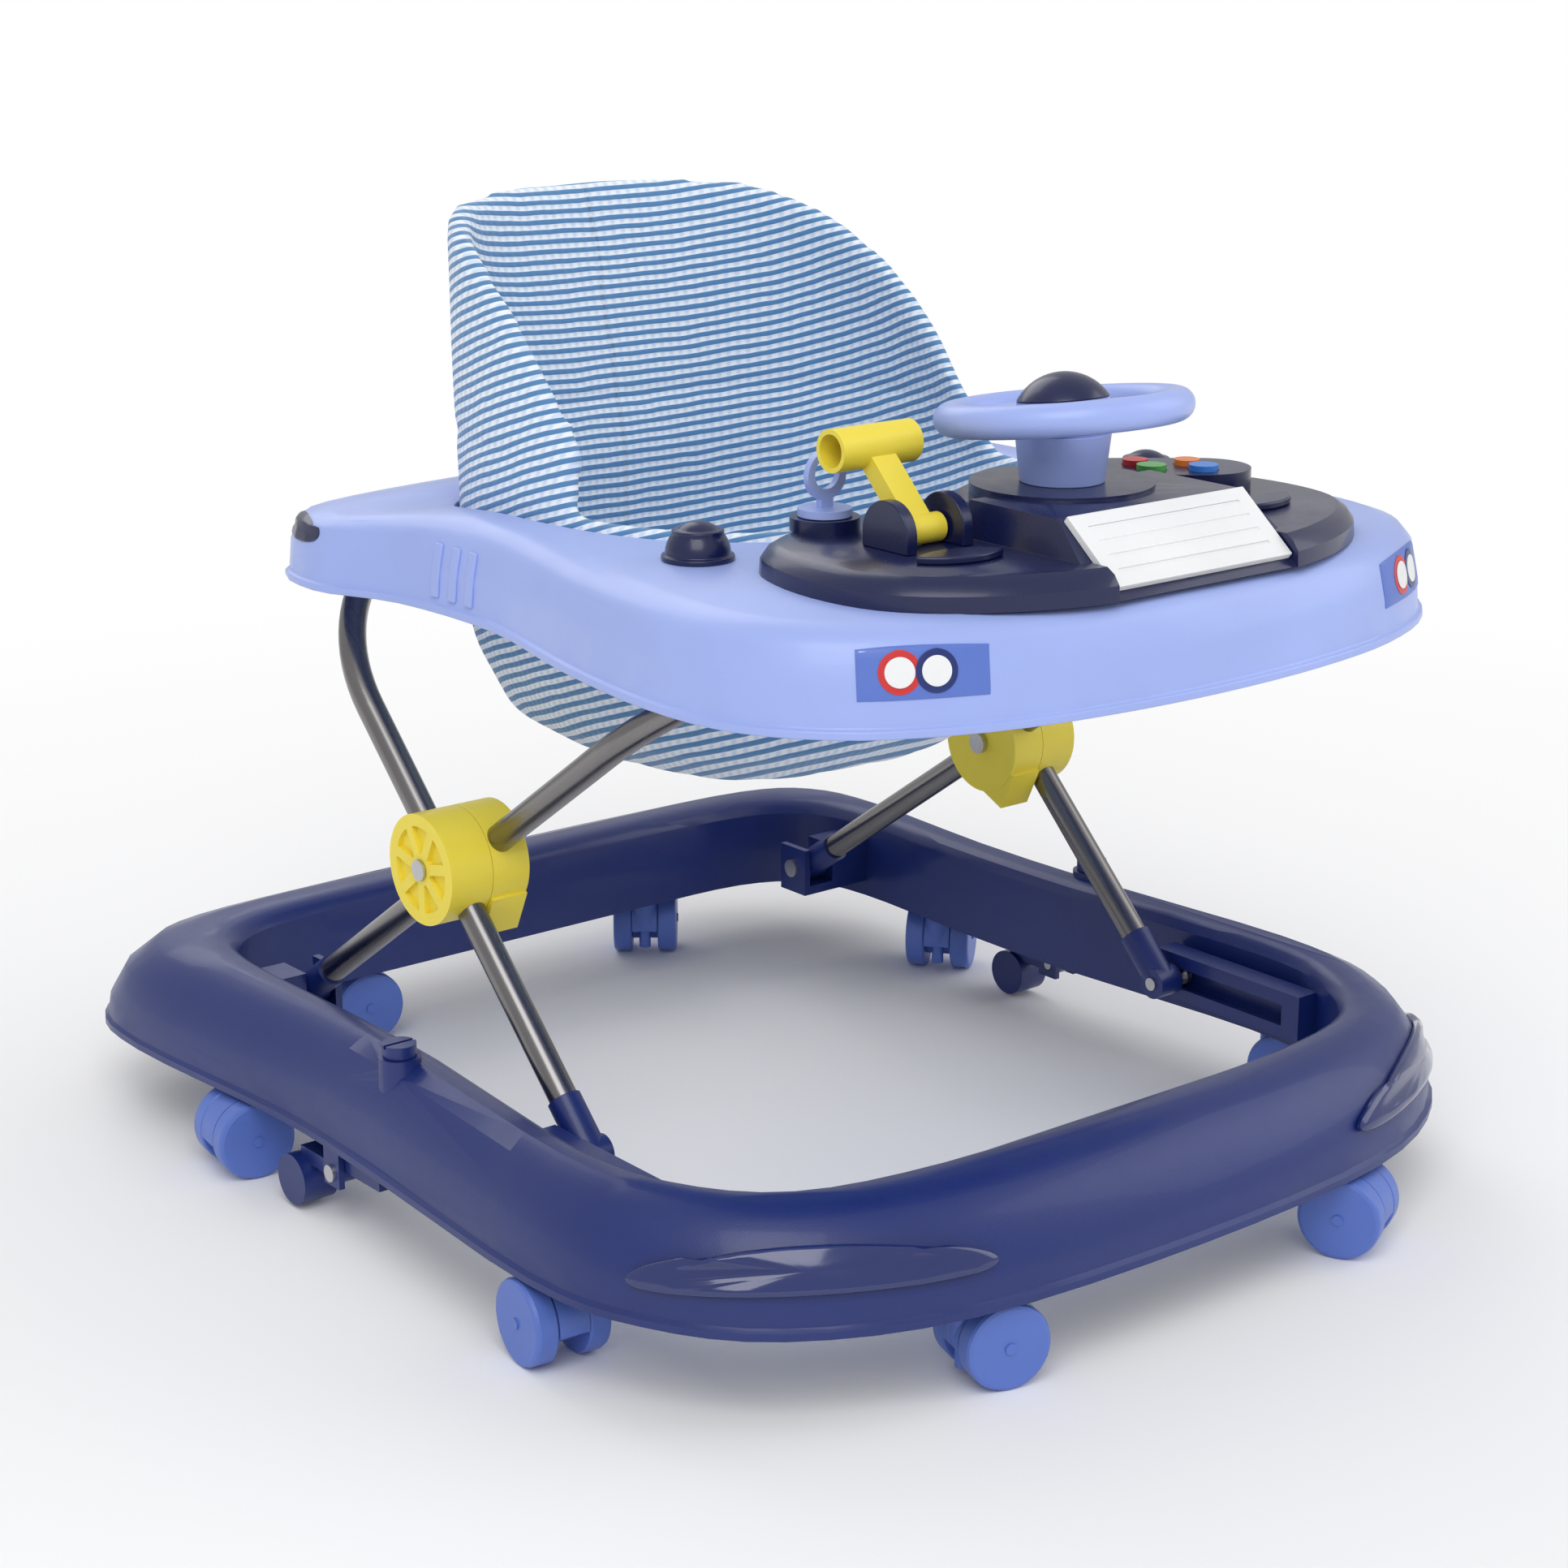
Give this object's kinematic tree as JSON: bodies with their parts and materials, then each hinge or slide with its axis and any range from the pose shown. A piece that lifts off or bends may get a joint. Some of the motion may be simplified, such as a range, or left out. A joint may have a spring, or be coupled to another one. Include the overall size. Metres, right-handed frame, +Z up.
{
  "type": "baby walker",
  "caption": "Folding baby walker with a moulded base ring on swivel casters, a scissor tube frame, a play tray and a padded bucket seat.",
  "frame": {"origin": "on the floor, on the walker's plane of symmetry, near the middle of its length", "axes": "+X to the right seen from the front, +Y from the front to the back, +Z up"},
  "size_m": [0.6151, 0.7083, 0.5554],
  "materials": {
    "navy_plastic": "satin",
    "navy_gloss": "gloss",
    "blue_plastic": "satin",
    "tray_plastic": "satin",
    "yellow_plastic": "satin",
    "white_plastic": "satin",
    "red_plastic": "gloss",
    "green_plastic": "gloss",
    "orange_plastic": "gloss",
    "button_blue": "gloss",
    "grey_plastic": "matte",
    "board": "matte",
    "tube": "polished",
    "steel": "brushed",
    "seat_fabric": "woven"
  },
  "bodies": {
    "base": {"base_ring": "navy_plastic", "brake_brackets": "navy_plastic", "base_pins": "steel"},
    "brake_knob_left": {"brake_knob_left": "navy_plastic"},
    "brake_knob_right": {"brake_knob_right": "navy_plastic"},
    "brake_lever_left": {"brake_lever_left": "navy_plastic"},
    "brake_lever_right": {"brake_lever_right": "navy_plastic"},
    "frame_a": {"tube_a": "tube", "feet_a": "navy_plastic", "hub_inner": "yellow_plastic", "hub_bolts": "steel"},
    "frame_b": {"tube_b": "tube", "feet_b": "navy_plastic", "slide_pins": "steel", "hub_outer": "yellow_plastic"},
    "tray": {"tray_shell": "tray_plastic", "pivot_clips": "blue_plastic", "height_racks": "navy_plastic", "seat": "seat_fabric", "toy_panel": "navy_plastic", "grille": "white_plastic", "steering_column": "blue_plastic", "lever_housing": "navy_plastic", "spinner_boss": "navy_plastic", "music_pad": "navy_gloss", "button_springs": "steel", "speaker_cover": "blue_plastic", "lens_domes": "navy_gloss", "latch_knobs": "navy_plastic", "battery_box": "grey_plastic", "sound_board": "board", "sound_speaker": "grey_plastic"},
    "steering": {"steering_wheel": "tray_plastic", "steering_cap": "navy_gloss"},
    "lever": {"shift_lever": "yellow_plastic"},
    "spinner": {"key_spinner": "blue_plastic"},
    "button_red": {"button_red": "red_plastic"},
    "button_green": {"button_green": "green_plastic"},
    "button_orange": {"button_orange": "orange_plastic"},
    "button_blue": {"button_blue": "button_blue"},
    "swivel_1": {"caster_hood_1": "blue_plastic"},
    "wheels_1": {"caster_wheels_1": "blue_plastic"},
    "swivel_2": {"caster_hood_2": "blue_plastic"},
    "wheels_2": {"caster_wheels_2": "blue_plastic"},
    "swivel_3": {"caster_hood_3": "blue_plastic"},
    "wheels_3": {"caster_wheels_3": "blue_plastic"},
    "swivel_4": {"caster_hood_4": "blue_plastic"},
    "wheels_4": {"caster_wheels_4": "blue_plastic"},
    "swivel_5": {"caster_hood_5": "blue_plastic"},
    "wheels_5": {"caster_wheels_5": "blue_plastic"},
    "swivel_6": {"caster_hood_6": "blue_plastic"},
    "wheels_6": {"caster_wheels_6": "blue_plastic"},
    "swivel_7": {"caster_hood_7": "blue_plastic"},
    "wheels_7": {"caster_wheels_7": "blue_plastic"},
    "swivel_8": {"caster_hood_8": "blue_plastic"},
    "wheels_8": {"caster_wheels_8": "blue_plastic"}
  },
  "joints": [
    {"name": "fold", "type": "hinge", "parent": "base", "child": "frame_a", "pos_m": [0, 0.212, 0.077], "axis": [1, 0, 0], "range_deg": [0, 22]},
    {"name": "scissor", "type": "hinge", "parent": "frame_a", "child": "frame_b", "pos_m": [0, 0.024, 0.20696], "axis": [-1, 0, 0], "range_deg": [0, 52]},
    {"name": "tray_tilt", "type": "hinge", "parent": "frame_b", "child": "tray", "pos_m": [0, 0.18147, 0.362], "axis": [1, 0, 0], "range_deg": [0, 30]},
    {"name": "swivel_1", "type": "hinge", "parent": "base", "child": "swivel_1", "pos_m": [-0.134, -0.314, 0.05], "axis": [0, 0, 1], "continuous": true},
    {"name": "roll_1", "type": "hinge", "parent": "swivel_1", "child": "wheels_1", "pos_m": [-0.11862, -0.31841, 0.0235], "axis": [-0.2756, -0.9613, 0], "continuous": true},
    {"name": "swivel_2", "type": "hinge", "parent": "base", "child": "swivel_2", "pos_m": [0.134, -0.314, 0.05], "axis": [0, 0, 1], "continuous": true},
    {"name": "roll_2", "type": "hinge", "parent": "swivel_2", "child": "wheels_2", "pos_m": [0.14101, -0.32838, 0.0235], "axis": [-0.8988, -0.4384, 0], "continuous": true},
    {"name": "swivel_3", "type": "hinge", "parent": "base", "child": "swivel_3", "pos_m": [-0.278, -0.146, 0.05], "axis": [0, 0, 1], "continuous": true},
    {"name": "roll_3", "type": "hinge", "parent": "swivel_3", "child": "wheels_3", "pos_m": [-0.27967, -0.16191, 0.0235], "axis": [-0.9945, 0.1045, 0], "continuous": true},
    {"name": "swivel_4", "type": "hinge", "parent": "base", "child": "swivel_4", "pos_m": [0.278, -0.146, 0.05], "axis": [0, 0, 1], "continuous": true},
    {"name": "roll_4", "type": "hinge", "parent": "swivel_4", "child": "wheels_4", "pos_m": [0.28241, -0.16138, 0.0235], "axis": [-0.9613, -0.2756, 0], "continuous": true},
    {"name": "swivel_5", "type": "hinge", "parent": "base", "child": "swivel_5", "pos_m": [-0.264, 0.152, 0.05], "axis": [0, 0, 1], "continuous": true},
    {"name": "roll_5", "type": "hinge", "parent": "swivel_5", "child": "wheels_5", "pos_m": [-0.27984, 0.15423, 0.0235], "axis": [0.1392, 0.9903, 0], "continuous": true},
    {"name": "swivel_6", "type": "hinge", "parent": "base", "child": "swivel_6", "pos_m": [0.264, 0.152, 0.05], "axis": [0, 0, 1], "continuous": true},
    {"name": "roll_6", "type": "hinge", "parent": "swivel_6", "child": "wheels_6", "pos_m": [0.27643, 0.16207, 0.0235], "axis": [0.6293, -0.7771, 0], "continuous": true},
    {"name": "swivel_7", "type": "hinge", "parent": "base", "child": "swivel_7", "pos_m": [-0.126, 0.306, 0.05], "axis": [0, 0, 1], "continuous": true},
    {"name": "roll_7", "type": "hinge", "parent": "swivel_7", "child": "wheels_7", "pos_m": [-0.11016, 0.30377, 0.0235], "axis": [-0.1392, -0.9903, 0], "continuous": true},
    {"name": "swivel_8", "type": "hinge", "parent": "base", "child": "swivel_8", "pos_m": [0.126, 0.306, 0.05], "axis": [0, 0, 1], "continuous": true},
    {"name": "roll_8", "type": "hinge", "parent": "swivel_8", "child": "wheels_8", "pos_m": [0.13607, 0.31843, 0.0235], "axis": [0.7771, -0.6293, 0], "continuous": true},
    {"name": "brake_knob_left", "type": "hinge", "parent": "base", "child": "brake_knob_left", "pos_m": [-0.264, 0.004, 0.1], "axis": [0, 0, 1], "range_deg": [0, 90]},
    {"name": "brake_lift_left", "type": "hinge", "parent": "base", "child": "brake_lever_left", "pos_m": [0, 0.045, 0.034], "axis": [1, 0, 0], "range_deg": [0, 6]},
    {"name": "brake_knob_right", "type": "hinge", "parent": "base", "child": "brake_knob_right", "pos_m": [0.264, 0.004, 0.1], "axis": [0, 0, 1], "range_deg": [0, 90]},
    {"name": "brake_lift_right", "type": "hinge", "parent": "base", "child": "brake_lever_right", "pos_m": [0, 0.045, 0.034], "axis": [1, 0, 0], "range_deg": [0, 6]},
    {"name": "steer", "type": "hinge", "parent": "tray", "child": "steering", "pos_m": [0, -0.232, 0.47], "axis": [0, 0.1219, 0.9925], "continuous": true},
    {"name": "shift", "type": "hinge", "parent": "tray", "child": "lever", "pos_m": [-0.101, -0.235, 0.422], "axis": [1, 0, 0], "range_deg": [0, 45]},
    {"name": "spin_key", "type": "hinge", "parent": "tray", "child": "spinner", "pos_m": [-0.112, -0.176, 0.414], "axis": [0, 0, 1], "continuous": true},
    {"name": "press_red", "type": "slide", "parent": "tray", "child": "button_red", "axis": [0, 0, -1], "range_m": [0, 0.002], "stiffness_N_per_m": 150, "springref_m": -0.001},
    {"name": "press_green", "type": "slide", "parent": "tray", "child": "button_green", "axis": [0, 0, -1], "range_m": [0, 0.002], "stiffness_N_per_m": 150, "springref_m": -0.001},
    {"name": "press_orange", "type": "slide", "parent": "tray", "child": "button_orange", "axis": [0, 0, -1], "range_m": [0, 0.002], "stiffness_N_per_m": 150, "springref_m": -0.001},
    {"name": "press_blue", "type": "slide", "parent": "tray", "child": "button_blue", "axis": [0, 0, -1], "range_m": [0, 0.002], "stiffness_N_per_m": 150, "springref_m": -0.001}
  ],
  "couplings": [
    {"joint": "scissor", "follows": "fold", "ratio": 2.325},
    {"joint": "tray_tilt", "follows": "fold", "ratio": 1.325},
    {"joint": "brake_lift_left", "follows": "brake_knob_left", "ratio": 0.066667},
    {"joint": "brake_lift_right", "follows": "brake_knob_right", "ratio": 0.066667}
  ]
}
